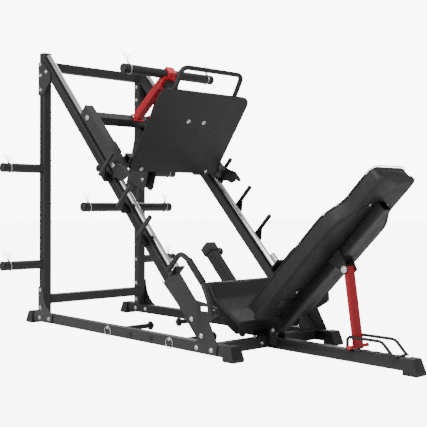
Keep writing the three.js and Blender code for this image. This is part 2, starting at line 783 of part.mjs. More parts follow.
function safetyHook() {
  const outline = new THREE.Shape();
  outline.moveTo(116, 1093);
  outline.lineTo(80, 1075);
  outline.quadraticCurveTo(60, 1100, 47, 1106);
  outline.lineTo(25, 1113);
  outline.quadraticCurveTo(12, 1126, 8, 1156);
  outline.quadraticCurveTo(-4, 1160, -17, 1163);
  outline.lineTo(-18, 1180);
  outline.lineTo(40, 1183);
  outline.lineTo(100, 1150);
  outline.absarc(131, ROLLER_LEVEL, 22, Math.PI * 0.38, -Math.PI * 0.62, true);
  const washer = rodAlongX(16, [TRACK_OUT + GAP, HOOK_FACE + 1], ROLLER_PLACES.lower, ROLLER_LEVEL, 20);
  return join(sidePlate(outline, [HOOK_FACE, HOOK_FACE + PLATE]), washer);
}

placePair(sled, 'safety_hook', black, safetyHook());

// ---- foot plate ---------------------------------------------------------------------------------
function footPlate() {
  const outline = roundedOutline(THREE.Shape, 2 * PLATE_HALF_WIDTH, PLATE_HIGH - PLATE_LOW, PLATE_CORNER);
  return extrude(outline, PLATE, 6).translate(0, (PLATE_HIGH + PLATE_LOW) / 2, -PLATE);
}

// A side plate of the support that carries the foot plate's lower edge off the lower horn arm.
function plateSupport() {
  const outline = sideOutline([
    fromSled([104, 1111]),
    fromSled([112, 1079]),
    fromSled([226, 1079]),
    fromSled([226, 985]),
    fromSled([185, 905]),
    fromSled([190, 880]),
    fromSled([330, 830]),
    fromSled([430, 1010]),
    fromSled([300, 1085]),
    fromSled([115.5, 1180]),
  ]);
  return sidePlate(outline, [HALF + GAP, HALF + GAP + PLATE]);
}

// The box bracket between a carriage side and the back of the plate.
function plateBracket() {
  const outer = [[0, -PLATE - GAP], [64, -PLATE - GAP], [58, -58], [6, -58]];
  const inner = [[5, -PLATE - 5], [59, -PLATE - 5], [54, -53], [10, -53]];
  const section = sideOutline(outer);
  section.holes.push(new THREE.Path(inner.map(([t, w]) => new THREE.Vector2(t, w))));
  return sidePlate(section, [190, BEAM_REACH]);
}

function plateHandle() {
  const postX = 200;
  const back = -PLATE - GAP - 12.5;
  return bentRod(
    [[postX, 395, back], [postX, 573, back - 16], [-postX, 573, back - 16], [-postX, 395, back]],
    12.5,
    35,
    34,
  );
}

placePair(machine, 'plate_support', black, plateSupport());
placePair(plateSpace, 'plate_bracket', black, plateBracket());
place(plateSpace, 'foot_plate', black, footPlate());
place(plateSpace, 'plate_handle', black, plateHandle());

// ---- horn arms ----------------------------------------------------------------------------------
const UPPER_HORN = [497, 1445];
const LOWER_HORN = [245, 695];
const ARM_FOOT_X = 57; // the red arm's two legs stand apart on the carriage beam
const LEG_HALF = 20;
const BRACE_LEVEL = 1405;

// A leg of the red arm, from the beam's upper face up to the block between the two horns.
function armLeg(side, half, foot, head) {
  const corners = [];
  const ends = [[side * ARM_FOOT_X, BEAM_PLACE, foot], [side * 8, UPPER_HORN[0], head]];
  for (const [x, along, above] of ends) {
    for (const i of [-half, half]) {
      corners.push([x + i, along - half, above], [x + i, along + half, above]);
    }
  }
  return hull(corners);
}

function upperArm() {
  const [along, above] = UPPER_HORN;
  const base = SIDE_TOP + GAP;
  const head = above - 30;
  const pieces = [
    box([-HALF, HALF], [along - HALF - 1, along + HALF], [head - 34, above + 30]),
    box([-46, 46], [along - HALF - PLATE, along - HALF], [1366, 1446]),
  ];
  const beamSpan = [BEAM_PLACE - HALF, BEAM_PLACE + HALF];
  const bores = [];
  for (const side of [-1, 1]) {
    const centre = side * ARM_FOOT_X;
    pieces.push(armLeg(side, LEG_HALF, base, head));
    pieces.push(box([centre - 30, centre + 30], beamSpan, [base, base + PLATE]));
    bores.push(armLeg(side, LEG_HALF - WALL, base - 1, head - 40));
  }
  return cut(join(...pieces), ...bores);
}

function lowerArm() {
  const [tipAlong, tipAbove] = LOWER_HORN;
  const lean = [BEAM_PLACE - tipAlong, BEAM_LEVEL - tipAbove];
  const length = Math.hypot(...lean);
  const tip = [tipAlong - (lean[0] / length) * 30, tipAbove - (lean[1] / length) * 30];
  const underBeam = box([-TUBE, TUBE], [0, 1000], [BEAM_LEVEL - HALF - GAP, 1300]);
  return cut(leaningTube(tip, [BEAM_PLACE, BEAM_LEVEL]), underBeam);
}

// The tube that props the middle of the foot plate off the upper arm, with its flange.
function plateBrace() {
  const big = 1000;
  const cutter = box([-big, big], [-big, big], [-PLATE - GAP, big]);
  cutter.rotateX(PLATE_ANGLE).translate(0, ...PLATE_FOOT).rotateX(-SLOPE);
  const flange = box([-80, 80], [264, 332], [-PLATE - 8, -PLATE - GAP]);
  flange.rotateX(PLATE_ANGLE).translate(0, ...PLATE_FOOT).rotateX(-SLOPE);
  const stop = UPPER_HORN[0] - HALF - PLATE - GAP;
  return join(cut(tubeY([100, stop], 0, BRACE_LEVEL), cutter), flange);
}

function loadingHorn([along, above]) {
  const start = HALF + GAP;
  return horn(LOAD_HORN_END - start).translate(start, along, above);
}

place(sled, 'horn_arm_upper', red, upperArm());
place(sled, 'horn_arm_lower', black, lowerArm());
place(sled, 'plate_brace', black, plateBrace());
placePair(sled, 'loading_horn_upper', black, loadingHorn(UPPER_HORN));
placePair(sled, 'loading_horn_lower', black, loadingHorn(LOWER_HORN));

export default machine;
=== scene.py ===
"""Leg press machine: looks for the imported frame. Metres, +Z up, +Y from the seat to the uprights."""
import json
import math

import bmesh
import bpy
from mathutils import Matrix, Vector


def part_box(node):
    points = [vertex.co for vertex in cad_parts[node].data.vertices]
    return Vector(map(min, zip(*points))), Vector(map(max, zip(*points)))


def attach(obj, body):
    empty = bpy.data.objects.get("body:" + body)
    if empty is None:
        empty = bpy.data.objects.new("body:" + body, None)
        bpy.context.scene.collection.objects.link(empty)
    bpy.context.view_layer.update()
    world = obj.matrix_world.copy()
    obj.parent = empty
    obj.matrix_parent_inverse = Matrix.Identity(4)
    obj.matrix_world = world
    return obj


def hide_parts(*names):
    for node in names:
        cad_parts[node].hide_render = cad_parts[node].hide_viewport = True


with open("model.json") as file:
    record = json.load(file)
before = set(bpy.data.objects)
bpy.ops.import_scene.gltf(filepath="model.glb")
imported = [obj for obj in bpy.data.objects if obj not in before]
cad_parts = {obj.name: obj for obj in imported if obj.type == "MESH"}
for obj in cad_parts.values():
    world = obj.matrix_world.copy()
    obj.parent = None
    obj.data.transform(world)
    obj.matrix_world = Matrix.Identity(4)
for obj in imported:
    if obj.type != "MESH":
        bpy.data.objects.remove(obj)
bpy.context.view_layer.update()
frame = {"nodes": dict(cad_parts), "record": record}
NODES = frame["nodes"]
RECORD = frame["record"]
JOINTS = {joint["name"]: joint for joint in RECORD["behaviour"]["joints"]}
SLOT_OF = {part["node"]: part["material_slot"] for part in RECORD["subparts"]}


def mm(value):
    return value / 1000.0


# ---- places taken from the frame ----------------------------------------------------------------
def middle(node):
    low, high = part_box(node)
    return (low + high) / 2


UPRIGHT_Y = middle("top_cross_beam").y
UP_RAIL = Vector(JOINTS["carriage_slide"]["axis"]).normalized()
OFF_RAIL = Vector((1, 0, 0)).cross(UP_RAIL)
TRACK = middle("guide_rod_right").x
SIDES = {"left": -1, "right": 1}
X_AXIS = Vector((1, 0, 0))
Z_AXIS = Vector((0, 0, 1))


def on_frame(x, y, z):
    """A point given in millimetres from the uprights' centre plane and the floor."""
    return Vector((mm(x), UPRIGHT_Y + mm(y), mm(z)))


def on_sled(x, along, above):
    """A point given in millimetres along the rail and above the sloped datum."""
    return Vector((mm(x), UPRIGHT_Y, 0)) + UP_RAIL * mm(along) + OFF_RAIL * mm(above)


# ---- camera -------------------------------------------------------------------------------------
CAMERA_PLACE = on_frame(-2750, -4079, 660)
CAMERA_AZIMUTH = -42.2
CAMERA_RISE = 0.35
CAMERA_LENS = 69.4
CAMERA_SHIFT = -0.0274


def make_camera():
    data = bpy.data.cameras.new("camera")
    data.lens = CAMERA_LENS
    data.sensor_width = 36
    data.shift_y = CAMERA_SHIFT
    data.clip_end = 50
    camera = bpy.data.objects.new("camera", data)
    camera.location = CAMERA_PLACE
    camera.rotation_euler = (math.radians(90 + CAMERA_RISE), 0, math.radians(CAMERA_AZIMUTH))
    bpy.context.scene.collection.objects.link(camera)
    bpy.context.scene.camera = camera


make_camera()


# ---- materials ----------------------------------------------------------------------------------
class Shader:
    """A node tree with a Principled BSDF and short helpers to feed it."""

    def __init__(self, name):
        self.material = bpy.data.materials.new(name)
        self.material.use_nodes = True
        self.nodes = self.material.node_tree.nodes
        self.links = self.material.node_tree.links
        self.bsdf = self.nodes["Principled BSDF"]
        self.place = self.nodes.new("ShaderNodeTexCoord").outputs["Object"]

    def constant(self, **values):
        for key, value in values.items():
            self.bsdf.inputs[key.replace("_", " ")].default_value = value

    def link(self, source, target):
        self.links.new(source, target)

    def noise(self, scale, detail=3.0, stretch=(1, 1, 1)):
        mapping = self.nodes.new("ShaderNodeMapping")
        mapping.inputs["Scale"].default_value = stretch
        self.link(self.place, mapping.inputs["Vector"])
        node = self.nodes.new("ShaderNodeTexNoise")
        node.inputs["Scale"].default_value = scale
        node.inputs["Detail"].default_value = detail
        self.link(mapping.outputs["Vector"], node.inputs["Vector"])
        return node.outputs["Fac"]

    def cells(self, scale):
        node = self.nodes.new("ShaderNodeTexVoronoi")
        node.feature = "DISTANCE_TO_EDGE"
        node.inputs["Scale"].default_value = scale
        self.link(self.place, node.inputs["Vector"])
        return node.outputs["Distance"]

    def blend(self, factor, first, second):
        node = self.nodes.new("ShaderNodeMix")
        node.data_type = "RGBA"
        self.link(factor, node.inputs["Factor"])
        for socket, value in zip(node.inputs[6:8], (first, second)):
            if isinstance(value, tuple):
                socket.default_value = (*value, 1)
            else:
                self.link(value, socket)
        return node.outputs[2]

    def spread(self, value, low, high, start=0.3, end=0.7):
        node = self.nodes.new("ShaderNodeMapRange")
        node.inputs["From Min"].default_value = start
        node.inputs["From Max"].default_value = end
        node.inputs["To Min"].default_value = low
        node.inputs["To Max"].default_value = high
        self.link(value, node.inputs["Value"])
        return node.outputs["Result"]

    def edge_wear(self, low=0.52, high=0.6):
        pointiness = self.nodes.new("ShaderNodeNewGeometry").outputs["Pointiness"]
        return self.spread(pointiness, 0.0, 1.0, low, high)

    def bump(self, height, strength, distance, before=None):
        node = self.nodes.new("ShaderNodeBump")
        node.inputs["Strength"].default_value = strength
        node.inputs["Distance"].default_value = distance
        self.link(height, node.inputs["Height"])
        if before is not None:
            self.link(before, node.inputs["Normal"])
        return node.outputs["Normal"]


def powder_coat(name, base, lighter, roughness):
    """Baked powder paint: orange peel, faint mottling, slightly brighter rubbed edges."""
    shader = Shader(name)
    mottle = shader.spread(shader.noise(9, 4), 0, 1)
    colour = shader.blend(mottle, base, lighter)
    rubbed = tuple(min(1.0, channel * 2.2 + 0.01) for channel in lighter)
    colour = shader.blend(shader.edge_wear(), colour, rubbed)
    shader.link(colour, shader.bsdf.inputs["Base Color"])
    scuffs = shader.spread(shader.noise(38, 5), roughness - 0.06, roughness + 0.08)
    shader.link(scuffs, shader.bsdf.inputs["Roughness"])
    peel = shader.bump(shader.noise(900, 2), 0.16, mm(0.25))
    shader.link(shader.bump(shader.noise(60, 2), 0.05, mm(1), peel), shader.bsdf.inputs["Normal"])
    shader.constant(Specular_IOR_Level=0.3, Coat_Weight=0.05, Coat_Roughness=0.3)
    return shader.material


def metal(name, base, roughness, streak):
    """Bright metal with fine drawn streaks and smudges."""
    shader = Shader(name)
    smudge = shader.spread(shader.noise(22, 5), 0, 1)
    darker = tuple(channel * 0.82 for channel in base)
    shader.link(shader.blend(smudge, base, darker), shader.bsdf.inputs["Base Color"])
    polish = shader.spread(shader.noise(40, 4), roughness, roughness + 0.1)
    shader.link(polish, shader.bsdf.inputs["Roughness"])
    shader.link(shader.bump(shader.noise(120, 3, streak), 0.12, mm(0.2)), shader.bsdf.inputs["Normal"])
    shader.constant(Metallic=1.0)
    return shader.material


def vinyl(name, base, lighter):
    """Upholstery vinyl: pebble grain, soft creases, a dull sheen."""
    shader = Shader(name)
    tone = shader.spread(shader.noise(6, 3), 0, 1)
    shader.link(shader.blend(tone, base, lighter), shader.bsdf.inputs["Base Color"])
    shader.link(shader.spread(shader.noise(25, 4), 0.42, 0.58), shader.bsdf.inputs["Roughness"])
    grain = shader.bump(shader.cells(520), 0.35, mm(0.5))
    shader.link(shader.bump(shader.noise(14, 3), 0.1, mm(3), grain), shader.bsdf.inputs["Normal"])
    shader.constant(Sheen_Weight=0.03, Sheen_Roughness=0.5, Specular_IOR_Level=0.35)
    return shader.material


def moulded(name, base, lighter, roughness, grain):
    """Moulded plastic or rubber with a spark-eroded grain."""
    shader = Shader(name)
    tone = shader.spread(shader.noise(15, 3), 0, 1)
    shader.link(shader.blend(tone, base, lighter), shader.bsdf.inputs["Base Color"])
    worn = shader.spread(shader.noise(60, 3), roughness - 0.05, roughness + 0.08)
    shader.link(worn, shader.bsdf.inputs["Roughness"])
    shader.link(shader.bump(shader.noise(grain, 3), 0.3, mm(0.4)), shader.bsdf.inputs["Normal"])
    return shader.material


def timber_board(name):
    """The painted plywood board under a pad, streaked along its fibre."""
    shader = Shader(name)
    fibre = shader.spread(shader.noise(35, 4, (1, 14, 1)), 0, 1)
    tone = shader.blend(fibre, (0.006, 0.006, 0.0063), (0.011, 0.011, 0.0115))
    shader.link(tone, shader.bsdf.inputs["Base Color"])
    shader.link(shader.bump(shader.noise(240, 3, (1, 8, 1)), 0.25, mm(0.5)), shader.bsdf.inputs["Normal"])
    shader.constant(Roughness=0.7)
    return shader.material


LOOKS = {
    "frame_black": powder_coat("frame_black", (0.0055, 0.0056, 0.006), (0.0085, 0.0086, 0.009), 0.4),
    "arm_red": powder_coat("arm_red", (0.3, 0.004, 0.01), (0.36, 0.007, 0.015), 0.4),
    "chrome_rod": metal("chrome_rod", (0.86, 0.87, 0.89), 0.1, (60, 1, 1)),
    "stop_steel": metal("stop_steel", (0.6, 0.6, 0.62), 0.24, (1, 30, 30)),
    "bolt_steel": metal("bolt_steel", (0.78, 0.78, 0.8), 0.2, (20, 20, 20)),
    "plastic": moulded("plastic", (0.006, 0.006, 0.0063), (0.01, 0.01, 0.0103), 0.5, 700),
    "knob": moulded("knob", (0.006, 0.006, 0.0065), (0.01, 0.01, 0.011), 0.36, 420),
    "grip": moulded("grip", (0.006, 0.006, 0.0065), (0.011, 0.011, 0.0115), 0.7, 320),
    "vinyl": vinyl("vinyl", (0.0075, 0.0076, 0.008), (0.012, 0.0121, 0.0128)),
    "board": timber_board("board"),
}


# ---- piece building -----------------------------------------------------------------------------
def piece_from(name, builder, look, body, smooth=True):
    data = bpy.data.meshes.new(name)
    bmesh.ops.recalc_face_normals(builder, faces=builder.faces)
    builder.to_mesh(data)
    builder.free()
    if smooth:
        data.shade_smooth()
        data.set_sharp_from_angle(angle=math.radians(35))
    piece = bpy.data.objects.new(name, data)
    bpy.context.scene.collection.objects.link(piece)
    data.materials.append(LOOKS[look])
    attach(piece, body)
    return piece


def aligned(place, axis):
    """A matrix that stands local Z along an axis at a place."""
    return Matrix.Translation(place) @ axis.to_track_quat("Z", "Y").to_matrix().to_4x4()


def add_turned(builder, profile, place, axis, segments=32):
    """A turned solid: the profile lists radius and height in millimetres, from axis to axis."""
    matrix = aligned(place, axis)
    rings = []
    for radius, height in profile:
        if radius == 0:
            rings.append([builder.verts.new(matrix @ Vector((0, 0, mm(height))))])
            continue
        ring = []
        for step in range(segments):
            angle = 2 * math.pi * step / segments
            local = Vector((mm(radius) * math.cos(angle), mm(radius) * math.sin(angle), mm(height)))
            ring.append(builder.verts.new(matrix @ local))
        rings.append(ring)
    for lower, upper in zip(rings, rings[1:]):
        for step in range(segments):
            after = (step + 1) % segments
            corners = [lower[step % len(lower)], lower[after % len(lower)]]
            corners += [upper[after % len(upper)], upper[step % len(upper)]]
            builder.faces.new(list(dict.fromkeys(corners)))


def add_wire(builder, points, radius, sides=10, closed=False):
    """A round wire through points in metres, with its frame carried along."""
    count = len(points)
    side = None
    rings = []
    for index, point in enumerate(points):
        before = points[index - 1] if index or closed else point
        after = points[(index + 1) % count] if index + 1 < count or closed else point
        along = (after - before).normalized()
        if side is None:
            side = along.orthogonal().normalized()
        side = (side - along * side.dot(along)).normalized()
        other = along.cross(side)
        ring = []
        for step in range(sides):
            angle = 2 * math.pi * step / sides
            offset = side * math.cos(angle) + other * math.sin(angle)
            ring.append(builder.verts.new(point + offset * mm(radius)))
        rings.append(ring)
    pairs = list(zip(rings, rings[1:]))
    if closed:
        pairs.append((rings[-1], rings[0]))
    for lower, upper in pairs:
        for step in range(sides):
            after = (step + 1) % sides
            builder.faces.new((lower[step], lower[after], upper[after], upper[step]))
    if not closed:
        builder.faces.new(rings[0][::-1])
        builder.faces.new(rings[-1])


def rounded_path(corners, bend, steps=6):
    """Points along straight runs with rounded corners of the given size in metres."""
    path = [corners[0]]
    for before, corner, after in zip(corners, corners[1:], corners[2:]):
        entry = corner + (before - corner).normalized() * bend
        leave = corner + (after - corner).normalized() * bend
        for step in range(steps + 1):
            share = step / steps
            path.append(entry * (1 - share) ** 2 + corner * 2 * share * (1 - share) + leave * share ** 2)
    path.append(corners[-1])
    return path


# ---- CAD nodes: materials and softened edges ----------------------------------------------------
EDGE_ROUND = mm(0.9)


def dress_frame():
    for name, node in NODES.items():
        node.data.materials.clear()
        node.data.materials.append(LOOKS[SLOT_OF[name]])
        node.data.shade_smooth()
        node.data.set_sharp_from_angle(angle=math.radians(30))
        bevel = node.modifiers.new("softened_edges", "BEVEL")
        bevel.width = EDGE_ROUND
        bevel.segments = 2
        bevel.limit_method = "ANGLE"
        bevel.angle_limit = math.radians(40)
        bevel.harden_normals = True
        bevel.use_clamp_overlap = True


dress_frame()


# ---- small hardware -----------------------------------------------------------------------------
BOLT_PROFILE = [
    (0, -1),
    (11, -1),
    (11, 1.2),
    (6.8, 1.4),
    (6.8, 6),
    (5.6, 7.4),
    (3.6, 7.4),
    (3.2, 4.5),
    (0, 4.5),
]
BIG_BOLT_PROFILE = [(radius * 1.35, height) for radius, height in BOLT_PROFILE]


def bolt_row(name, body, spots, profile=BOLT_PROFILE):
    """A set of washers and socket heads; each spot is a place and the way its head faces."""
    builder = bmesh.new()
    for place, axis in spots:
        add_turned(builder, profile, place, axis, 20)
    piece_from(name, builder, "bolt_steel", body)


def face_x(node, side):
    low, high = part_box(node)
    return high.x * 1000 if side > 0 else low.x * 1000


UPRIGHT_BOLTS = ((7, 1461), (1, 1399), (1, 1318), (-58, 1413), (1, 194), (0, 95), (6, 39), (-91, 40))
GUSSET_BOLTS = ((-1302, 162), (-1367, 94), (-1335, 39), (-1432, 39))
HORN_LEVELS = (874, 338)
TUBE_HALF = 25
AXLE_LEVEL = 1112
HOOK_STANDOFF = 13.5
SUPPORT_FACE = 31.3
FLOOR_TUBE_BOLTS = [(6, 39), (-91, 40), (-1335, 39), (-1432, 39)]
PLATE_UP = Vector((0, -0.586, 0.81)).normalized()
PLATE_OUT = X_AXIS.cross(PLATE_UP)


def on_plate(x, up, out):
    """A point given in millimetres across and up the foot plate and off its face."""
    return on_frame(x, -739, 850) + PLATE_UP * mm(up) + PLATE_OUT * mm(out)


def add_frame_bolts():
    for side_name, side in SIDES.items():
        skin = face_x(f"upright_{side_name}", side)
        out = X_AXIS * side
        spots = [(on_frame(skin, y, z), out) for y, z in UPRIGHT_BOLTS + GUSSET_BOLTS]
        spots += [(on_frame(skin, -1452, 206), out)]
        bolt_row(f"bolts_outer_{side_name}", "frame", spots)
        inner = side * (TRACK * 1000 - TUBE_HALF)
        inward = X_AXIS * -side
        inside = [(1, 1399), (1, 1318), (1, 194), (0, 95)] + [(0, level) for level in HORN_LEVELS]
        spots = [(on_frame(inner, y, z), inward) for y, z in inside + FLOOR_TUBE_BOLTS]
        bolt_row(f"bolts_inner_{side_name}", "frame", spots)
    nuts = []
    for side in (-1, 1):
        for along in (-600, -688):
            nuts.append((on_sled(side * TRACK * 1000, along, 1008), -OFF_RAIL))
    bolt_row("bolts_under_rails", "frame", nuts)
    cross_front = Vector((0, -1, 0))
    spots = [(on_frame(x, -1443, 39), cross_front) for x in (-60, 60)]
    spots += [(on_frame(x, -1418, 64.3), Z_AXIS) for x in (-85, 85)]
    bolt_row("bolts_cross_tube", "frame", spots)


def add_carriage_bolts():
    for side_name, side in SIDES.items():
        outer = face_x(f"carriage_side_{side_name}", side)
        out = X_AXIS * side
        axles = [(on_sled(outer, 491, AXLE_LEVEL), out)]
        axles += [(on_sled(outer + side * HOOK_STANDOFF, 131, AXLE_LEVEL), out)]
        bolt_row(f"bolts_axle_{side_name}", "carriage", axles, BIG_BOLT_PROFILE)
        keeper = [(on_sled(side * 298, 237, AXLE_LEVEL), -out)]
        bolt_row(f"bolts_keeper_{side_name}", "carriage", keeper)
    spots = [(on_sled(side * TUBE_HALF, 484, 1402), X_AXIS * side) for side in (-1, 1)]
    spots += [(on_sled(side * 82, 480, 1152.3), OFF_RAIL) for side in (-1, 1)]
    bolt_row("bolts_arm", "carriage", spots)
    spots = [(on_plate(x, 2, 0), PLATE_OUT) for x in (-218, 218)]
    spots += [(on_plate(x, 298, 0), PLATE_OUT) for x in (-51, 51)]
    bolt_row("bolts_plate", "carriage", spots)
    spots = [(on_sled(side * SUPPORT_FACE, 215, 1096), X_AXIS * side) for side in (-1, 1)]
    spots += [(on_sled(side * SUPPORT_FACE, 232, 925), X_AXIS * side) for side in (-1, 1)]
    bolt_row("bolts_support", "carriage", spots)


def add_spring_clip(name, body, place, axis, up):
    """A spring wire clip: a ring round the sleeve with two finger loops standing up."""
    builder = bmesh.new()
    across = axis.cross(up).normalized()
    ring = 26.3
    wire = 1.6
    coil = []
    turns = 26
    for step in range(turns + 1):
        angle = math.radians(70) + math.radians(400) * step / turns
        shift = axis * mm(-3 + 6 * step / turns)
        coil.append(place + (across * math.cos(angle) + up * math.sin(angle)) * mm(ring) + shift)
    ends = (coil[0], coil[-1])
    add_wire(builder, coil, wire, 8)
    for root, lean in zip(ends, (-1, 1)):
        side = axis * lean
        loop = [root, root + up * mm(14) + side * mm(4), root + up * mm(44) + side * mm(10)]
        loop += [root + up * mm(50) + side * mm(18), root + up * mm(44) + side * mm(24)]
        loop += [root + up * mm(16) + side * mm(14), root + up * mm(3) + side * mm(4)]
        add_wire(builder, rounded_path(loop, mm(4), 3), wire, 8)
    piece_from(name, builder, "bolt_steel", body)


def horn_tip(kind, level, side_name):
    node = f"{kind}_horn_{level}_{side_name}"
    centre = middle(node)
    return Vector((mm(face_x(node, SIDES[side_name])), centre.y, centre.z))


def add_horn_clips():
    for level in ("upper", "lower"):
        for side_name, side in SIDES.items():
            tilt = Vector((0.12 * side, 0.05, 1)).normalized()
            for kind, body, inset in (("storage", "frame", 48), ("loading", "carriage", 40)):
                place = horn_tip(kind, level, side_name) - X_AXIS * side * mm(inset)
                name = f"clip_{kind}_{level}_{side_name}"
                add_spring_clip(name, body, place, X_AXIS * side, tilt)


def add_horn_caps():
    profile = [(0, -15), (25.6, -15), (25.6, -6), (24.6, -2), (21, 1.4), (12, 3), (0, 3.4)]
    for kind, body in (("storage", "frame"), ("loading", "carriage")):
        for level in ("upper", "lower"):
            for side_name, side in SIDES.items():
                tip = horn_tip(kind, level, side_name)
                builder = bmesh.new()
                add_turned(builder, profile, tip, X_AXIS * side, 40)
                piece_from(f"cap_{kind}_{level}_{side_name}", builder, "plastic", body)


def add_cap(name, body, centre, along, half):
    """A square plug in a tube's end: a low pyramid with a rim."""
    builder = bmesh.new()
    normal = along.normalized()
    other = normal.cross(X_AXIS).normalized()
    rings = []
    for inset, height in ((0, 0.2), (0, 2.2), (1.6, 3.6), (half * 0.62, 4.6)):
        reach = half - inset
        ring = []
        for i, j in ((1, 1), (-1, 1), (-1, -1), (1, -1)):
            corner = X_AXIS * mm(i * reach) + other * mm(j * reach) + normal * mm(height)
            ring.append(builder.verts.new(centre + corner))
        rings.append(ring)
    for lower, upper in zip(rings, rings[1:]):
        for step in range(4):
            builder.faces.new((lower[step], lower[(step + 1) % 4], upper[(step + 1) % 4], upper[step]))
    builder.faces.new(rings[0][::-1])
    builder.faces.new(rings[-1])
    piece_from(name, builder, "plastic", body, smooth=False)


def add_tube_caps():
    for side_name, side in SIDES.items():
        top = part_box(f"upright_{side_name}")[1].z
        centre = Vector((side * TRACK, UPRIGHT_Y, top))
        add_cap(f"cap_upright_{side_name}", "frame", centre, Z_AXIS, TUBE_HALF)
        end = on_sled(side * TRACK * 1000, 550.2, 1121)
        add_cap(f"cap_carriage_{side_name}", "carriage", end, UP_RAIL, TUBE_HALF)
    add_cap("cap_post", "frame", on_sled(0, -364, 1044), UP_RAIL, 28)


def add_ring_pulls():
    skin = face_x("base_tube_left", -1)
    stud = [(0, -2), (9, -2), (9, 4), (6, 6.5), (0, 6.5)]
    for side_name, side in SIDES.items():
        for index, y in enumerate((-649, -1139)):
            builder = bmesh.new()
            centre = on_frame(side * (abs(skin) + 2.5), y, 34)
            ring = []
            for step in range(28):
                angle = 2 * math.pi * step / 28
                ring.append(centre + Vector((0, mm(25) * math.cos(angle), mm(25) * math.sin(angle))))
            add_wire(builder, ring, 1.7, 8, closed=True)
            add_turned(builder, stud, on_frame(side * abs(skin), y, 53), X_AXIS * side, 20)
            piece_from(f"ring_pull_{side_name}_{index}", builder, "bolt_steel", "frame")


def add_hole_plugs():
    skin = face_x("base_tube_left", -1)
    profile = [(0, 0.4), (11.5, 0.4), (12.5, 1.1), (13.5, 0.6), (14, -0.5)]
    for side_name, side in SIDES.items():
        builder = bmesh.new()
        for y in (-839, -1001):
            add_turned(builder, profile + [(0, -0.5)], on_frame(side * abs(skin), y, 39), X_AXIS * side, 28)
        piece_from(f"hole_plugs_{side_name}", builder, "grip", "frame")


def add_grips():
    """Ribbed rubber sleeves on the two side handles."""
    for side_name, side in SIDES.items():
        builder = bmesh.new()
        start = on_sled(side * 386, -604, 1237.2)
        end = on_sled(side * 386, -738, 1239)
        along = (end - start).normalized()
        length = (end - start).length * 1000
        profile = [(12.6, 0), (15.5, 0.5), (16, 3)]
        count = 22
        for rib in range(count):
            base = 3 + (length - 6) * rib / count
            profile += [(16, base + 1), (15.4, base + 2.4), (15.4, base + 3.6), (16, base + 5)]
        profile += [(16, length - 2), (15.5, length), (12.6, length)]
        add_turned(builder, [(0, 0)] + profile + [(0, length)], start, along, 28)
        piece_from(f"grip_{side_name}", builder, "grip", "frame")


def add_back_hardware():
    pivot_y, pivot_z = -1895, 398
    for side_name, side in SIDES.items():
        builder = bmesh.new()
        add_turned(builder, BIG_BOLT_PROFILE, on_frame(side * 34.5, pivot_y, pivot_z), X_AXIS * side, 24)
        piece_from(f"pivot_bolt_{side_name}", builder, "bolt_steel", "back_rest")
        hinge = [(on_frame(side * 31.4, -1483, 99), X_AXIS * side)]
        bolt_row(f"hinge_bolt_{side_name}", "frame", hinge)
    spots = []
    for side in (-1, 1):
        for level in (1936, 1388):
            spots.append((on_sled(side * 56, -938, level), -UP_RAIL))
    bolt_row("bolts_back_board", "back_rest", spots)


def add_strut_caps():
    """End caps on the strut's foot bar."""
    builder = bmesh.new()
    profile = [(0, -6), (8.2, -6), (8.2, 3), (7, 4.6), (0, 4.6)]
    for side in (-1, 1):
        add_turned(builder, profile, on_frame(side * 61, -1943, 80), X_AXIS * side, 20)
    piece_from("strut_foot_caps", builder, "arm_red", "strut")


def dress_machine():
    add_frame_bolts()
    add_carriage_bolts()
    add_horn_clips()
    add_horn_caps()
    add_tube_caps()
    add_ring_pulls()
    add_hole_plugs()
    add_grips()
    add_back_hardware()
    add_strut_caps()


dress_machine()


# ---- upholstery ---------------------------------------------------------------------------------
CLOTH_FRAMES = 20
CLOTH_CELL = mm(6)
INSET = mm(3)
PUFF = mm(3.5)


def pad_copy(node):
    """A copy of a pad's shape in world space."""
    builder = bmesh.new()
    builder.from_mesh(node.data)
    builder.transform(node.matrix_world)
    return builder


def cloth_pad(node_name, body):
    """Vinyl over foam: the pad's own shape, drawn in a little and blown up as stretched cloth."""
    node = NODES[node_name]
    builder = pad_copy(node)
    low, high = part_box(node_name)
    centre = (low + high) / 2
    size = high - low
    for vertex in builder.verts:
        for axis in range(3):
            share = (size[axis] - 2 * INSET) / size[axis]
            vertex.co[axis] = centre[axis] + (vertex.co[axis] - centre[axis]) * share
    data = bpy.data.meshes.new(f"{node_name}_cover")
    builder.to_mesh(data)
    builder.free()
    piece = bpy.data.objects.new(f"{node_name}_cover", data)
    bpy.context.scene.collection.objects.link(piece)
    bpy.context.view_layer.objects.active = piece
    remesh = piece.modifiers.new("remesh", "REMESH")
    remesh.mode = "VOXEL"
    remesh.voxel_size = CLOTH_CELL
    soften = piece.modifiers.new("soften", "SMOOTH")
    soften.iterations = 12
    soften.factor = 0.5
    apply_modifiers(piece)
    blow_up(piece)
    piece.data.shade_smooth()
    piece.data.materials.clear()
    piece.data.materials.append(LOOKS["vinyl"])
    finish = piece.modifiers.new("finish", "SUBSURF")
    finish.levels = 1
    finish.render_levels = 1
    apply_modifiers(piece)
    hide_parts(node_name)
    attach(piece, body)


def apply_modifiers(piece):
    depsgraph = bpy.context.evaluated_depsgraph_get()
    evaluated = piece.evaluated_get(depsgraph)
    data = bpy.data.meshes.new_from_object(evaluated)
    piece.modifiers.clear()
    piece.data = data


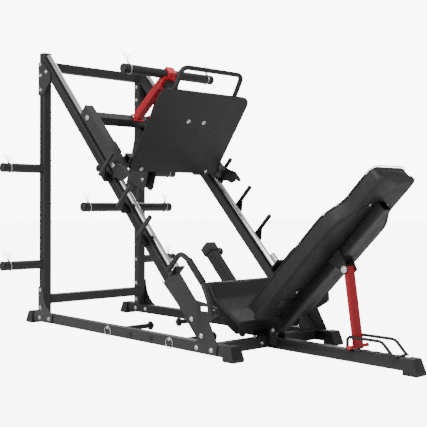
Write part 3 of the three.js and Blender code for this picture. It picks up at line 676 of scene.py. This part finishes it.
def blow_up(piece):
    """A short run of cloth under pressure; no point ends further than PUFF from its start."""
    start = [vertex.co.copy() for vertex in piece.data.vertices]
    cloth = piece.modifiers.new("cover", "CLOTH")
    cloth.settings.use_pressure = True
    cloth.settings.uniform_pressure_force = 4
    cloth.settings.effector_weights.gravity = 0
    cloth.settings.tension_stiffness = 15
    cloth.settings.compression_stiffness = 15
    cloth.settings.quality = 5
    cloth.point_cache.frame_start = 1
    cloth.point_cache.frame_end = CLOTH_FRAMES
    scene = bpy.context.scene
    for step in range(1, CLOTH_FRAMES + 1):
        scene.frame_set(step)
    apply_modifiers(piece)
    scene.frame_set(1)
    for vertex, place in zip(piece.data.vertices, start):
        move = vertex.co - place
        if move.length > PUFF:
            vertex.co = place + move.normalized() * PUFF


BOARD = mm(12)


def back_board():
    """The board behind the back cushion: the cushion's outline pressed flat against its rear face."""
    builder = pad_copy(NODES["back_pad"])
    rear = min(vertex.co.dot(UP_RAIL) for vertex in builder.verts)
    for vertex in builder.verts:
        ahead = vertex.co.dot(UP_RAIL) - rear
        if ahead > BOARD:
            vertex.co -= UP_RAIL * (ahead - BOARD)
    piece = piece_from("back_board", builder, "board", "back_rest", smooth=False)
    soften = piece.modifiers.new("soften", "BEVEL")
    soften.width = mm(2)
    soften.segments = 2
    soften.limit_method = "ANGLE"


def front_rim(node_name, facing, inset):
    """The outline of a pad's front face, drawn in a little, in order round its middle."""
    builder = pad_copy(NODES[node_name])
    front = max(vertex.co.dot(facing) for vertex in builder.verts)
    corners = [v.co.copy() for v in builder.verts if front - v.co.dot(facing) < mm(0.5)]
    builder.free()
    heart = sum(corners, Vector()) / len(corners)
    up = facing.orthogonal().normalized()
    side = facing.cross(up)
    corners.sort(key=lambda c: math.atan2((c - heart).dot(side), (c - heart).dot(up)))
    return [corner - (corner - heart).normalized() * mm(inset) for corner in corners]


def add_back_piping():
    """A welt sewn round the front edge of the back cushion."""
    rim = front_rim("back_pad", UP_RAIL, 3.5)
    builder = bmesh.new()
    add_wire(builder, [point - UP_RAIL * mm(4.5) for point in rim], 2.2, 8, closed=True)
    piece_from("back_piping", builder, "vinyl", "back_rest")


cloth_pad("seat_pad", "frame")
cloth_pad("back_pad", "back_rest")
back_board()
add_back_piping()


# ---- stage --------------------------------------------------------------------------------------
FLOOR_GLOW = 9.0
BACKDROP_GLOW = 9.0


def bright_to_camera(tree, lit, brightness):
    """Swap in a plain white glow for what the camera sees directly, and leave the light as it is."""
    seen = tree.nodes.new("ShaderNodeLightPath").outputs["Is Camera Ray"]
    kind = "ShaderNodeBackground" if lit.node.type == "BACKGROUND" else "ShaderNodeEmission"
    glow = tree.nodes.new(kind)
    glow.inputs["Color"].default_value = (1, 1, 1, 1)
    glow.inputs["Strength"].default_value = brightness
    mix = tree.nodes.new("ShaderNodeMixShader")
    tree.links.new(seen, mix.inputs["Fac"])
    tree.links.new(lit, mix.inputs[1])
    tree.links.new(glow.outputs[0], mix.inputs[2])
    return mix.outputs[0]


def make_stage():
    floor = bpy.data.meshes.new("floor")
    reach = 30
    corners = [(-reach, -reach, 0), (reach, -reach, 0), (reach, reach, 0), (-reach, reach, 0)]
    floor.from_pydata(corners, [], [(0, 1, 2, 3)])
    plane = bpy.data.objects.new("floor", floor)
    bpy.context.scene.collection.objects.link(plane)
    shader = Shader("floor")
    tone = shader.spread(shader.noise(3, 2), 0, 1)
    pale = shader.blend(tone, (0.93, 0.93, 0.93), (0.96, 0.96, 0.96))
    shader.link(pale, shader.bsdf.inputs["Base Color"])
    shader.constant(Roughness=0.9, Specular_IOR_Level=0.1)
    tree = shader.material.node_tree
    surface = next(node for node in tree.nodes if node.type == "OUTPUT_MATERIAL").inputs["Surface"]
    glowing = bright_to_camera(tree, shader.bsdf.outputs[0], FLOOR_GLOW)
    blend = tree.nodes.new("ShaderNodeMixShader")
    blend.inputs["Fac"].default_value = 0.12
    tree.links.new(glowing, blend.inputs[1])
    tree.links.new(shader.bsdf.outputs[0], blend.inputs[2])
    tree.links.new(blend.outputs[0], surface)
    plane.data.materials.append(shader.material)
    world = bpy.data.worlds.new("studio")
    world.use_nodes = True
    tree = world.node_tree
    light = tree.nodes["Background"]
    light.inputs["Color"].default_value = (1, 1, 1, 1)
    light.inputs["Strength"].default_value = 0.55
    output = next(node for node in tree.nodes if node.type == "OUTPUT_WORLD")
    tree.links.new(bright_to_camera(tree, light.outputs[0], BACKDROP_GLOW), output.inputs["Surface"])
    bpy.context.scene.world = world


def add_light(name, place, target, size, power):
    data = bpy.data.lights.new(name, "AREA")
    data.size = size
    data.energy = power
    lamp = bpy.data.objects.new(name, data)
    lamp.location = place
    lamp.rotation_euler = (Vector(target) - Vector(place)).to_track_quat("-Z", "Y").to_euler()
    bpy.context.scene.collection.objects.link(lamp)


make_stage()
add_light("key", (-2.5, -2.0, 3.6), (0, 0, 0.6), 2.2, 130)
add_light("fill", (-4.0, 1.0, 1.6), (0, 0, 0.6), 3.0, 60)
add_light("back", (2.5, 2.5, 3.0), (0, 0, 0.8), 2.5, 80)
